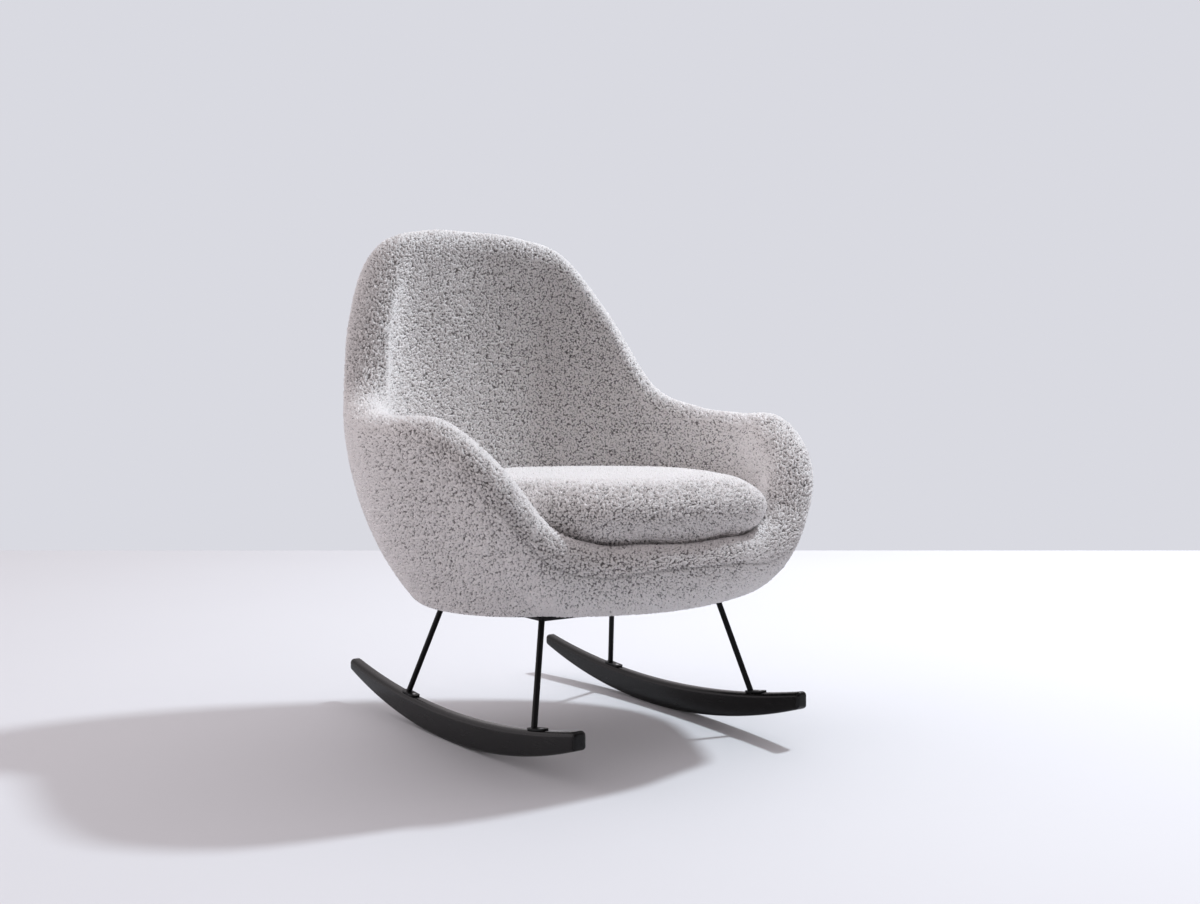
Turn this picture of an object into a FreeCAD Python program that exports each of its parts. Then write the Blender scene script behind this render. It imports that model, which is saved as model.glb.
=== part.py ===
import FreeCAD, Part
import math
import os
from collections import namedtuple

# Upholstered rocking chair: a padded tub shell with a loose seat cushion, on a rod under-frame
# that stands on two bent wooden rockers.
# Millimetres. The sitter faces -Y, +Z is up, and the origin is on the floor under the middle of the chair.
# Left and right are the sitter's own, so the right arm is at -X.

# Driving dimensions of the rockers
ROCKER_SPACING = 448.0       # between the middles of the two rockers
ROCKER_WIDTH = 24.0
ROCKER_RADIUS = 1172.0       # of the arc that rolls on the floor
ROCKER_TOUCH_Y = 4.0         # where the arc meets the floor at rest
ROCKER_FRONT_Y = -378.0
ROCKER_REAR_Y = 378.0
ROCKER_DEPTH_FRONT = 29.0
ROCKER_DEPTH_MIDDLE = 48.0
ROCKER_DEPTH_REAR = 20.0
ROCKER_EDGE = 4.0            # rounding of the long edges
ROCKER_NOSE = 7.0            # rounding of the upper and lower front corners
ROCKER_TAIL = 9.0            # rounding of the upper and lower rear corners

# Driving dimensions of the rod under-frame
ROD_D = 10.0
FRAME_HALF_WIDTH = 181.5
FRAME_FRONT_Y = -211.0
FRAME_REAR_Y = 95.0
FOOT_FRONT_Y = -253.0
FOOT_REAR_Y = 160.0
FOOT_PLATE = (16.0, 46.0, 3.0)   # width, length along the rocker, thickness
FOOT_PLATE_AHEAD = 11.0          # how far the plate's middle is in front of the leg
FOOT_PLATE_END = 7.0             # rounding of the plate's ends
FIT_STOCK = 2.0                  # left on a foot before it is cut to the rocker's curve
BOLT_AHEAD = 22.0                # how far the rocker bolt is in front of the leg
TAB = (46.0, 40.0, 4.0)
TAB_HOLE_D = 9.0
TAB_INSET = 30.0                 # from the ring's rods to the tab's hole
TAB_ROUND = 12.0                 # of the tab's inner corner

# Driving dimensions of the fasteners
ROCKER_BOLT_D = 6.0
ROCKER_BOLT_HEAD = (11.0, 4.0)   # diameter, height
COUNTERBORE = (13.0, 15.0)       # diameter, depth from the rocker's underside
PLUG_LENGTH = 7.0
PLUG_RECESS = 0.8
FRAME_BOLT_D = 8.0
FRAME_BOLT_HEAD = (13.0, 5.0)    # across flats, height
WASHER = (16.0, 1.6)             # diameter, thickness
TEE_FLANGE = (22.0, 1.6)
TEE_BARREL = (10.4, 11.0)
CLEAR = 0.2                      # all round, in a drilled hole

# Driving dimensions of the base of the tub
BASE_Z = 237.0               # underside of the plywood seat board
BOARD_THICK = 15.0
BOARD_INSET = 10.0           # the board's edge, inside the tub's base line
LINER_THICK = 1.0            # black lining cloth under the board
LINER_INSET = 18.0
SEAT_HOLE_INSET = 45.0       # the seat foam's edge, inside the tub's base line
SEAT_HOLE_STOCK = 6.0        # foam that is trimmed off round the seat hole

# Driving dimensions of the upholstery
TUB_Y = -50.0                # the tub's own upright axis
COVER = 4.0                  # woven cover with its backing
SLACK = 2.4                  # between cover and foam
DECK_Z = 336.0               # top of the covered seat deck
DECK_GAP = 1.5               # between the deck cover's edge and the inner cover
SEAM_GAP = 0.6               # between the two covers, along their seam under the roll

# Stations round the tub, from the middle of the back (0 degrees), past the right arm, to the middle
# of the front.
# rim_r, rim_z, roll: middle and radius of the rim's padded roll.
# lean: where the outer wall leaves the roll, in degrees above level. fall: where the inner wall leaves it.
# base_r, deck_r: the tub's radius at its base and at the seat deck.
# seat_r, foot_r: the loose cushion's radius at its widest line and at its underside.
Station = namedtuple("Station", "angle rim_r rim_z roll lean fall base_r deck_r seat_r foot_r")
STATIONS = [
    Station(0, 380, 855, 47, -7, 176, 222, 225, 239, 193),
    Station(16, 382, 849, 47, -7, 176, 225, 227, 241, 195),
    Station(30, 390, 820, 44, -7, 176, 232, 232, 247, 201),
    Station(44, 379, 708, 40, -7, 177, 246, 240, 258, 212),
    Station(58, 365, 570, 38, -6, 178, 264, 250, 272, 226),
    Station(74, 362, 524, 38, -3, 180, 284, 262, 284, 238),
    Station(92, 365, 507, 42, -2, 180, 296, 275, 292, 246),
    Station(112, 366, 497, 43, -7, 175, 298, 282, 298, 252),
    Station(128, 366, 425, 41, -16, 163, 281, 284, 304, 252),
    Station(138, 347, 350, 37, -21, 148, 256, 281, 324, 244),
    Station(150, 318, 322, 34, -23, 133, 242, 273, 342, 242),
    Station(164, 308, 322, 31, -15, 122, 228, 262, 331, 244),
    Station(180, 300, 320, 29, -10, 115, 218, 258, 322, 246),
]
OVERRUN = 2                  # stations repeated past the middle plane, so that the halves meet smoothly

# Levels of the loose cushion, by height above the deck. Up to its widest line: the share of the way out
# from the underside's edge to that line. Above it: the share of the way in to the middle of the crown.
CUSHION_BELOW = [(0.5, 0.0), (7, 0.30), (18, 0.59), (31, 0.80), (46, 0.95)]
CUSHION_ABOVE = [
    (62, 0.0), (78, 0.01), (91, 0.045), (99, 0.10), (104, 0.18),
    (107, 0.28), (109, 0.40), (110.2, 0.54), (110.8, 0.70), (111, 0.88),
]
CUSHION_COVER = 2.5
ZIP = (260.0, 12.0, 1.2)     # length, width, thickness
ZIP_HEIGHT = 52.0            # its lower edge, above the deck

# Driving dimensions of the steel skeleton inside the foam
TUBE_D = 16.0
TUBE_WALL = 1.5
ARM_HOOP_Z = 478.0
ARM_HOOP_HALF = 350.0
ARM_HOOP_REAR_Y = 248.0
ARM_HOOP_BEND = 290.0
ARM_POST_BEND = 45.0
ARM_POST_FOOT = (236.0, -155.0)
ARM_POST_TOP_Y = -175.0
BACK_HOOP_FOOT = (88.0, 130.0)
BACK_HOOP_KNEE = (118.0, 214.0, 400.0)
BACK_HOOP_TOP = (176.0, 296.0, 800.0)
BACK_HOOP_BEND = 80.0
BACK_KNEE_BEND = 160.0
FLANGE = (38.0, 3.0)         # diameter, thickness of the plates at the skeleton's feet
FLANGE_SCREW = (4.0, 11.0)   # diameter, length of the thread
FLANGE_SCREW_HEAD = (7.0, 2.0)
FLANGE_SCREW_REACH = 14.0    # from the middle of the plate

FRAME_Z = BASE_Z - LINER_THICK - ROD_D / 2   # middle of the ring's rods, which bear on the lining
BOARD_TOP = BASE_Z + BOARD_THICK
FOAM_FLOOR = BOARD_TOP + CLEAR
FOAM_INSET = COVER + SLACK
ORIGIN = FreeCAD.Vector(0, 0, 0)
SIDES = (("left", 1), ("right", -1))
THROUGH = 60.0               # half the length of a cutter that goes right through a piece
REACH = 1000.0               # beyond every face of the chair
NODES = {}


def vec(x, y, z):
    return FreeCAD.Vector(x, y, z)


def keep(name, shape):
    """Files one named piece, after a check that it is sound."""
    if not shape.isValid():
        raise ValueError(name + " is not a valid shape")
    NODES[name] = shape


def mirrored(shape):
    return shape.mirror(ORIGIN, vec(1, 0, 0))


def both_sides(half):
    """One solid from its right half."""
    return half.fuse(mirrored(half)).Solids[0]


def rod(start, end, diameter):
    return Part.makeCylinder(diameter / 2, (end - start).Length, start, end - start)


def through_hole(place, diameter):
    """Upright cutter right through a place."""
    return Part.makeCylinder(diameter / 2, 2 * THROUGH, place - vec(0, 0, THROUGH))


def largest(shape):
    return max(shape.Solids, key=lambda solid: solid.Volume)


# Rocker geometry, in the plane of the rocker
def rocker_low(y):
    """Height of the rolling arc above the floor."""
    return ROCKER_RADIUS - math.sqrt(ROCKER_RADIUS ** 2 - (y - ROCKER_TOUCH_Y) ** 2)


def rocker_top_points():
    middle = (ROCKER_FRONT_Y + ROCKER_REAR_Y) / 2
    places = (
        (ROCKER_FRONT_Y, ROCKER_DEPTH_FRONT),
        (middle, ROCKER_DEPTH_MIDDLE),
        (ROCKER_REAR_Y, ROCKER_DEPTH_REAR),
    )
    return [vec(0, y, rocker_low(y) + depth) for y, depth in places]


def rocker_top_circle():
    return Part.Circle(*rocker_top_points())


def rocker_top(y):
    """Height of the upper edge at a place along the rocker."""
    circle = rocker_top_circle()
    return circle.Center.z - math.sqrt(circle.Radius ** 2 - (y - circle.Center.y) ** 2)


def rocker_slope(y):
    """Slope of the upper edge, in degrees."""
    circle = rocker_top_circle()
    return math.degrees(math.asin((y - circle.Center.y) / circle.Radius))


def rocker_blank(side):
    """Bent, tapered rocker with a blunt nose, a round tail and softened edges."""
    front_top, middle_top, rear_top = rocker_top_points()
    front_low = vec(0, ROCKER_FRONT_Y, rocker_low(ROCKER_FRONT_Y))
    rear_low = vec(0, ROCKER_REAR_Y, rocker_low(ROCKER_REAR_Y))
    touch = vec(0, ROCKER_TOUCH_Y, 0)
    outline = Part.Wire([
        Part.Arc(front_low, touch, rear_low).toShape(),
        Part.LineSegment(rear_low, rear_top).toShape(),
        Part.Arc(rear_top, middle_top, front_top).toShape(),
        Part.LineSegment(front_top, front_low).toShape(),
    ])
    body = Part.Face(outline).extrude(vec(ROCKER_WIDTH, 0, 0))
    body.translate(vec(side * ROCKER_SPACING / 2 - ROCKER_WIDTH / 2, 0, 0))
    nose = [e for e in body.Edges if e.BoundBox.YMax < ROCKER_FRONT_Y + 1 and e.BoundBox.XLength > 1]
    body = body.makeFillet(ROCKER_NOSE, nose)
    tail = [e for e in body.Edges if e.BoundBox.YMin > ROCKER_REAR_Y - 1 and e.BoundBox.XLength > 1]
    body = body.makeFillet(ROCKER_TAIL, tail)
    rims = [e for e in body.Edges if e.BoundBox.XLength < 0.01]
    return body.makeFillet(ROCKER_EDGE, rims)


def foot_places():
    """Name, side and place along the rocker of each leg's foot, with its corner of the ring."""
    for end, foot_y, ring_y in (("front", FOOT_FRONT_Y, FRAME_FRONT_Y), ("rear", FOOT_REAR_Y, FRAME_REAR_Y)):
        for side_name, side in SIDES:
            yield end + "_" + side_name, side, foot_y, ring_y


def on_rocker(shape, side, foot_y):
    """Sets a shape made at the origin on the rocker's upper edge, square to it."""
    shape = shape.copy()
    shape.rotate(ORIGIN, vec(1, 0, 0), rocker_slope(foot_y))
    shape.translate(vec(side * ROCKER_SPACING / 2, foot_y, rocker_top(foot_y)))
    return shape


def rocker_bolt_depth(foot_y):
    """Depth of the rocker under a bolt, square to its upper edge."""
    y = foot_y - BOLT_AHEAD
    return (rocker_top(y) - rocker_low(y)) * math.cos(math.radians(rocker_slope(y)))


def bolt_stack(foot_y):
    """Bolt, plug, shank hole and counterbore at the origin, square to the rocker's upper edge."""
    depth = rocker_bolt_depth(foot_y)
    head_z = COUNTERBORE[1] - depth

    def upright(diameter, low, high):
        return Part.makeCylinder(diameter / 2, high - low, vec(0, -BOLT_AHEAD, low))

    head = upright(ROCKER_BOLT_HEAD[0], head_z - ROCKER_BOLT_HEAD[1], head_z)
    shank = upright(ROCKER_BOLT_D, head_z, FOOT_PLATE[2])
    plug = upright(COUNTERBORE[0], PLUG_RECESS - depth, PLUG_RECESS - depth + PLUG_LENGTH)
    hole = upright(ROCKER_BOLT_D + 2 * CLEAR, -depth, THROUGH)
    bore = upright(COUNTERBORE[0], -depth - THROUGH, head_z)
    return head.fuse(shank), plug, hole, bore


def build_rockers():
    bolts = []
    plugs = []
    blanks = {side: rocker_blank(side) for _, side in SIDES}
    for name, side, foot_y, ring_y in foot_places():
        bolt, plug, hole, bore = [on_rocker(s, side, foot_y) for s in bolt_stack(foot_y)]
        blanks[side] = blanks[side].cut(hole.fuse(bore))
        bolts.append(bolt)
        plugs.append(plug)
    for side_name, side in SIDES:
        keep("rocker_" + side_name, blanks[side].Solids[0])
    keep("rocker_bolts", Part.makeCompound(bolts))
    keep("rocker_plugs", Part.makeCompound(plugs))


# Rod under-frame
def tab_hole(side, end):
    """Middle of a tab's bolt hole."""
    y = FRAME_FRONT_Y + TAB_INSET if end == "front" else FRAME_REAR_Y - TAB_INSET
    return vec(side * (FRAME_HALF_WIDTH - TAB_INSET), y, FRAME_Z + ROD_D / 2)


def tab_blank(side, end):
    """Plate in a corner of the ring, with its inner corner rounded off and a bolt hole."""
    across, along, thick = TAB
    toward = 1 if end == "front" else -1
    ring_y = FRAME_FRONT_Y if end == "front" else FRAME_REAR_Y
    corner = vec(side * FRAME_HALF_WIDTH, ring_y, FRAME_Z + ROD_D / 2 - thick)
    plate = Part.makeBox(across, along, thick, vec(-across, 0, 0))
    inner = [e for e in plate.Edges if e.BoundBox.XMax < 1 - across and e.BoundBox.YMin > along - 1]
    plate = plate.makeFillet(TAB_ROUND, inner)
    if side < 0:
        plate = mirrored(plate)
    if toward < 0:
        plate = plate.mirror(ORIGIN, vec(0, 1, 0))
    plate.translate(corner)
    return plate.cut(through_hole(tab_hole(side, end), TAB_HOLE_D))


def build_underframe():
    side_bars = {}
    for side_name, side in SIDES:
        x = side * FRAME_HALF_WIDTH
        front = vec(x, FRAME_FRONT_Y - ROD_D / 2, FRAME_Z)
        rear = vec(x, FRAME_REAR_Y + ROD_D / 2, FRAME_Z)
        side_bars[side] = rod(front, rear, ROD_D)
        keep("ring_bar_" + side_name, side_bars[side])
    ring = side_bars[1].fuse(side_bars[-1])
    for end, y in (("front", FRAME_FRONT_Y), ("rear", FRAME_REAR_Y)):
        bar = rod(vec(-FRAME_HALF_WIDTH, y, FRAME_Z), vec(FRAME_HALF_WIDTH, y, FRAME_Z), ROD_D).cut(ring)
        keep("ring_bar_" + end, largest(bar))
        ring = ring.fuse(largest(bar))
    for name, side, foot_y, ring_y in foot_places():
        width, length, thick = FOOT_PLATE
        corner = vec(-width / 2, -length / 2 - FOOT_PLATE_AHEAD, -FIT_STOCK)
        plate = Part.makeBox(width, length, thick + FIT_STOCK, corner)
        ends = [e for e in plate.Edges if e.BoundBox.ZLength > 1]
        plate = plate.makeFillet(FOOT_PLATE_END, ends)
        plate = plate.cut(through_hole(vec(0, -BOLT_AHEAD, 0), ROCKER_BOLT_D + CLEAR))
        plate = largest(on_rocker(plate, side, foot_y).cut(rocker_blank(side)))
        keep("foot_plate_" + name, plate)
        foot = vec(side * ROCKER_SPACING / 2, foot_y, rocker_top(foot_y) - FIT_STOCK)
        top = vec(side * FRAME_HALF_WIDTH, ring_y, FRAME_Z)
        leg = rod(foot, top, ROD_D).cut(ring).cut(plate).cut(rocker_blank(side))
        keep("leg_" + name, largest(leg))
    for end in ("front", "rear"):
        for side_name, side in SIDES:
            tab = tab_blank(side, end).cut(ring)
            keep("ring_tab_" + end + "_" + side_name, largest(tab))


def hexagon_head(middle, across_flats, height):
    """Bolt head hanging below a point."""
    radius = across_flats / math.sqrt(3)
    turns = [i * math.pi / 3 for i in range(6)]
    corners = [middle + vec(radius * math.cos(a), radius * math.sin(a), 0) for a in turns]
    return Part.Face(Part.makePolygon(corners + corners[:1])).extrude(vec(0, 0, -height))


def frame_bolt_places():
    return [tab_hole(side, end) for end in ("front", "rear") for _, side in SIDES]


def tee_nut(place):
    """Nut pressed into the board from above: a flange on the board and a barrel down the hole."""
    top = vec(place.x, place.y, BOARD_TOP)
    flange = Part.makeCylinder(TEE_FLANGE[0] / 2, TEE_FLANGE[1], top)
    barrel = Part.makeCylinder(TEE_BARREL[0] / 2, TEE_BARREL[1], top - vec(0, 0, TEE_BARREL[1]))
    return flange.fuse(barrel).cut(through_hole(top, FRAME_BOLT_D + 2 * CLEAR))


def build_frame_fasteners():
    bolts = []
    washers = []
    nuts = []
    for place in frame_bolt_places():
        under_tab = place - vec(0, 0, TAB[2])
        under_washer = under_tab - vec(0, 0, WASHER[1])
        shank = Part.makeCylinder(FRAME_BOLT_D / 2, BOARD_TOP - under_washer.z, under_washer)
        bolts.append(hexagon_head(under_washer, *FRAME_BOLT_HEAD).fuse(shank))
        ring = Part.makeCylinder(WASHER[0] / 2, WASHER[1], under_washer)
        washers.append(ring.cut(through_hole(under_washer, FRAME_BOLT_D + 2 * CLEAR)))
        nuts.append(tee_nut(place))
    keep("frame_bolts", Part.makeCompound(bolts))
    keep("frame_washers", Part.makeCompound(washers))
    keep("tee_nuts", Part.makeCompound(nuts))


# Tub geometry, in the upright plane of one station: x is the distance from the tub's axis, y the height
def plane_point(angle, r, z):
    a = math.radians(angle)
    return vec(-r * math.sin(a), TUB_Y + r * math.cos(a), z)


class Section:
    """Arcs of the tub's padded wall at one station, drawn in by an inset from the covered surface."""

    def __init__(self, station, angle, inset):
        self.angle = angle
        self.inset = inset
        self.hub = (station.rim_r, station.rim_z)
        self.roll = station.roll - inset
        self.lean = math.radians(station.lean)
        self.fall = math.radians(station.fall)
        shoulder = self.polar(self.hub, station.roll, self.lean)
        lip = self.polar(self.hub, station.roll, self.fall)
        base = (station.base_r, BASE_Z)
        deck = (station.deck_r, DECK_Z)
        outer = self.tangent_radius(shoulder, self.lean, base)
        self.wall_hub = self.polar(shoulder, outer, self.lean)
        self.wall_radius = -outer - inset
        self.base_angle = math.atan2(base[1] - self.wall_hub[1], base[0] - self.wall_hub[0])
        inner = self.tangent_radius(lip, self.fall, deck)
        self.seat_hub = self.polar(lip, inner, self.fall)
        self.seat_radius = inner + inset
        self.deck_angle = math.atan2(deck[1] - self.seat_hub[1], deck[0] - self.seat_hub[0])

    @staticmethod
    def polar(hub, radius, angle):
        return (hub[0] + radius * math.cos(angle), hub[1] + radius * math.sin(angle))

    @staticmethod
    def tangent_radius(point, normal, through):
        """Signed distance along the normal from a point to the middle of the arc on to another point."""
        dx = through[0] - point[0]
        dy = through[1] - point[1]
        return (dx * dx + dy * dy) / (2 * (dx * math.cos(normal) + dy * math.sin(normal)))

    def arc(self, hub, radius, start, end):
        points = [self.polar(hub, radius, a) for a in (start, (start + end) / 2, end)]
        return Part.Arc(*[plane_point(self.angle, r, z) for r, z in points]).toShape()

    def line(self, start, end):
        return Part.LineSegment(plane_point(self.angle, *start), plane_point(self.angle, *end)).toShape()

    def wall_arc(self, start, end):
        return self.arc(self.wall_hub, self.wall_radius, start, end)

    def roll_arcs(self):
        crest = math.pi / 2
        outer = self.arc(self.hub, self.roll, self.lean, crest)
        return [outer, self.arc(self.hub, self.roll, crest, self.fall)]

    def seat_arc(self, end):
        return self.arc(self.seat_hub, self.seat_radius, self.fall - math.pi, end)

    def wall_start(self, height):
        """Angle at which the outer wall's arc is at a height, on its outer side."""
        return math.asin((height - self.wall_hub[1]) / self.wall_radius)

    def seat_end(self, height):
        """Angle at which the inner wall's arc comes down to a height."""
        return math.asin((height - self.seat_hub[1]) / self.seat_radius)


def stations_round():
    """Stations of the right half with their angles, run on past the middle plane at both ends."""
    before = [(s, -s.angle) for s in STATIONS[OVERRUN:0:-1]]
    after = [(s, 360 - s.angle) for s in STATIONS[-2:-2 - OVERRUN:-1]]
    return before + [(s, s.angle) for s in STATIONS] + after


def loft_half(make_wire):
    """Right half of a form lofted through one closed wire at each station."""
    whole = Part.makeLoft([make_wire(s, a) for s, a in stations_round()], True, False)
    return whole.common(Part.makeBox(REACH, 2 * REACH, REACH, vec(-REACH, -REACH, 0)))


def foam_wire(station, angle):
    """Foam wall: outer wall, roll, inner wall, the ledge round the seat, and the foot on the board."""
    section = Section(station, angle, FOAM_INSET)
    start = section.wall_start(FOAM_FLOOR)
    ledge_z = DECK_Z - FOAM_INSET
    end = section.seat_end(ledge_z)
    foot = section.polar(section.wall_hub, section.wall_radius, start)
    ledge = section.polar(section.seat_hub, section.seat_radius, end)
    hole = station.base_r - SEAT_HOLE_INSET - SEAT_HOLE_STOCK
    edges = [section.wall_arc(start, section.lean)] + section.roll_arcs() + [section.seat_arc(end)]
    edges.append(section.line(ledge, (hole, ledge_z)))
    edges.append(section.line((hole, ledge_z), (hole, FOAM_FLOOR)))
    edges.append(section.line((hole, FOAM_FLOOR), foot))
    return Part.Wire(edges)


def cover_wire(station, angle):
    """Both covers in one band: up the outer wall, over the roll and down to the seat deck."""
    face = Section(station, angle, 0.0)
    back = Section(station, angle, COVER)
    layers = []
    feet = []
    lips = []
    for side in (face, back):
        wall = side.wall_arc(face.base_angle, face.lean)
        layers.append([wall] + side.roll_arcs() + [side.seat_arc(face.deck_angle)])
        feet.append(side.polar(side.wall_hub, side.wall_radius, face.base_angle))
        lips.append(side.polar(side.seat_hub, side.seat_radius, face.deck_angle))
    return Part.Wire(layers[0] + [face.line(*lips)] + layers[1][::-1] + [face.line(*feet)])


def seam_wire(station, angle):
    """Cutter that parts the two covers along their seam under the roll."""
    face = Section(station, angle, 0.0)
    half = SEAM_GAP / 2 / station.roll
    low = station.roll - 2 * COVER
    high = station.roll + COVER
    places = ((low, -half), (high, -half), (high, half), (low, half))
    corners = [face.polar(face.hub, radius, face.lean + turn) for radius, turn in places]
    return Part.Wire([face.line(a, b) for a, b in zip(corners, corners[1:] + corners[:1])])


def outline(radius_of, z, draw_in=0.0):
    """Closed smooth outline round the tub's axis at one height, through a point at each station."""
    ring = [(s, s.angle) for s in STATIONS] + [(s, 360 - s.angle) for s in STATIONS[-2:0:-1]]
    curve = Part.BSplineCurve()
    curve.interpolate(Points=[plane_point(a, radius_of(s) - draw_in, z) for s, a in ring], PeriodicFlag=True)
    return Part.Wire([curve.toShape()])


def panel(radius_of, low, high, draw_in=0.0):
    return Part.Face(outline(radius_of, low, draw_in)).extrude(vec(0, 0, high - low))


# Steel skeleton
def bent_path(points, radii):
    """Straight runs joined by tangent arcs, one radius for each inner point."""
    edges = []
    start = points[0]
    for before, corner, after, radius in zip(points, points[1:], points[2:], radii):
        to_before = (before - corner).normalize()
        to_after = (after - corner).normalize()
        half = to_before.getAngle(to_after) / 2
        reach = radius / math.tan(half)
        middle = corner + (to_before + to_after).normalize() * (radius / math.sin(half))
        first = corner + to_before * reach
        last = corner + to_after * reach
        edges.append(Part.LineSegment(start, first).toShape())
        edges.append(Part.Arc(first, middle + (corner - middle).normalize() * radius, last).toShape())
        start = last
    edges.append(Part.LineSegment(start, points[-1]).toShape())
    return Part.Wire(edges)


def bent_tube(points, radii):
    """Bent tube, and the solid that it takes up in the foam."""
    path = bent_path(points, radii)
    away = points[1] - points[0]
    shapes = []
    for diameter in (TUBE_D, TUBE_D - 2 * TUBE_WALL):
        ring = Part.Wire(Part.makeCircle(diameter / 2, points[0], away))
        shapes.append(path.makePipeShell([ring], True, False))
    return shapes[0].cut(shapes[1]), shapes[0]


def across(half):
    """A route's right half, and on down the left side."""
    return half + [vec(-p.x, p.y, p.z) for p in half[::-1]]


def arm_hoop_points():
    x, y = ARM_POST_FOOT
    foot_z = BOARD_TOP + FLANGE[1]
    front = vec(-ARM_HOOP_HALF, ARM_POST_TOP_Y, ARM_HOOP_Z)
    rear = vec(-ARM_HOOP_HALF, ARM_HOOP_REAR_Y, ARM_HOOP_Z)
    return across([vec(-x, y, foot_z), front, rear])


def back_hoop_points():
    foot = (*BACK_HOOP_FOOT, BOARD_TOP + FLANGE[1])
    return across([vec(-x, y, z) for x, y, z in (foot, BACK_HOOP_KNEE, BACK_HOOP_TOP)])


def skeleton_feet():
    for x, y in (ARM_POST_FOOT, BACK_HOOP_FOOT):
        for side in (1, -1):
            yield vec(side * x, y, BOARD_TOP)


def flange_screw_places(foot):
    return [foot + vec(0, reach, 0) for reach in (FLANGE_SCREW_REACH, -FLANGE_SCREW_REACH)]


def build_skeleton():
    """Two bent tubes with a screwed plate under each foot; returns the room that they take up in the foam."""
    arm_bends = (ARM_POST_BEND, ARM_HOOP_BEND, ARM_HOOP_BEND, ARM_POST_BEND)
    back_bends = (BACK_KNEE_BEND, BACK_HOOP_BEND, BACK_HOOP_BEND, BACK_KNEE_BEND)
    arm_tube, arm_solid = bent_tube(arm_hoop_points(), arm_bends)
    back_tube, back_solid = bent_tube(back_hoop_points(), back_bends)
    arm_tube = arm_tube.cut(back_solid)
    plate_top = BOARD_TOP + FLANGE[1]
    below_plates = Part.makeBox(2 * REACH, 2 * REACH, plate_top, vec(-REACH, -REACH, 0))
    keep("arm_hoop", largest(arm_tube.cut(below_plates)))
    keep("back_hoop", largest(back_tube.cut(below_plates)))
    plates = []
    screws = []
    for foot in skeleton_feet():
        plate = Part.makeCylinder(FLANGE[0] / 2, FLANGE[1], foot)
        for place in flange_screw_places(foot):
            on_plate = place + vec(0, 0, FLANGE[1])
            thread = rod(place - vec(0, 0, FLANGE_SCREW[1]), on_plate, FLANGE_SCREW[0])
            head = Part.makeCylinder(FLANGE_SCREW_HEAD[0] / 2, FLANGE_SCREW_HEAD[1], on_plate)
            plate = plate.cut(through_hole(place, FLANGE_SCREW[0] + 2 * CLEAR))
            screws.append(thread.fuse(head))
        plates.append(plate)
    keep("skeleton_plates", Part.makeCompound(plates))
    keep("skeleton_screws", Part.makeCompound(screws))
    room = arm_solid.fuse(back_solid)
    foot_height = FLANGE[1] + FLANGE_SCREW_HEAD[1] + CLEAR
    for foot in skeleton_feet():
        room = room.fuse(Part.makeCylinder(FLANGE[0] / 2 + CLEAR, foot_height, foot))
    return room


def build_base():
    board = panel(lambda s: s.base_r, BASE_Z, BOARD_TOP, BOARD_INSET)
    liner = panel(lambda s: s.base_r, BASE_Z - LINER_THICK, BASE_Z, LINER_INSET)
    for place in frame_bolt_places():
        board = board.cut(through_hole(place, TEE_BARREL[0] + 2 * CLEAR))
        liner = liner.cut(through_hole(place, FRAME_BOLT_D + 2 * CLEAR))
    for foot in skeleton_feet():
        for place in flange_screw_places(foot):
            board = board.cut(rod(place - vec(0, 0, FLANGE_SCREW[1]), place, FLANGE_SCREW[0]))
    keep("seat_board", board.Solids[0])
    keep("lining_cloth", liner.Solids[0])


def build_tub(skeleton_room):
    foam = both_sides(loft_half(foam_wire))
    foam = foam.cut(panel(lambda s: s.base_r, BASE_Z, DECK_Z, SEAT_HOLE_INSET))
    inside = skeleton_room.common(foam).Volume
    print("share of the skeleton inside the foam wall", round(inside / skeleton_room.Volume, 3))
    keep("shell_foam", largest(foam.cut(skeleton_room)))
    covers = loft_half(cover_wire).cut(loft_half(seam_wire)).Solids
    outer, inner = sorted(covers, key=lambda solid: solid.BoundBox.ZMin)
    keep("outer_cover", both_sides(outer))
    keep("inner_cover", both_sides(inner))
    pad = panel(lambda s: s.base_r, FOAM_FLOOR, DECK_Z - FOAM_INSET, SEAT_HOLE_INSET + CLEAR)
    pad = pad.cut(skeleton_room)
    for place in frame_bolt_places():
        top = vec(place.x, place.y, BOARD_TOP)
        pad = pad.cut(Part.makeCylinder(TEE_FLANGE[0] / 2 + CLEAR, TEE_FLANGE[1] + CLEAR, top))
    keep("seat_foam", largest(pad))
    keep("deck_cover", panel(lambda s: s.deck_r, DECK_Z - COVER, DECK_Z, DECK_GAP))


def cushion_form():
    """Crowned cushion with sides that draw in above and below its widest line."""
    wires = []
    for height, share in CUSHION_BELOW:
        wires.append(outline(lambda s: s.foot_r + share * (s.seat_r - s.foot_r), DECK_Z + height))
    for height, share in CUSHION_ABOVE:
        wires.append(outline(lambda s: s.seat_r * (1 - share), DECK_Z + height))
    return Part.makeLoft(wires, True, False)


def thickened(form, skin):
    """The same form, grown by a skin's thickness on every side of its box, or shrunk by a negative one."""
    box = form.BoundBox
    middle = FreeCAD.Matrix()
    middle.move(box.Center.negative())
    grow = FreeCAD.Matrix()
    grow.scale(1 + 2 * skin / box.XLength, 1 + 2 * skin / box.YLength, 1 + 2 * skin / box.ZLength)
    back = FreeCAD.Matrix()
    back.move(box.Center)
    return form.transformGeometry(back * grow * middle)


def build_cushion():
    form = cushion_form()
    keep("cushion_cover", form.cut(thickened(form, -CUSHION_COVER)).Solids[0])
    keep("cushion_foam", thickened(form, -CUSHION_COVER - CLEAR))
    length, width, thick = ZIP
    window = Part.makeBox(length, REACH, width, vec(-length / 2, 0, DECK_Z + ZIP_HEIGHT))
    band = thickened(form, thick + CLEAR).cut(thickened(form, CLEAR))
    keep("cushion_zip", largest(band.common(window)))


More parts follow.
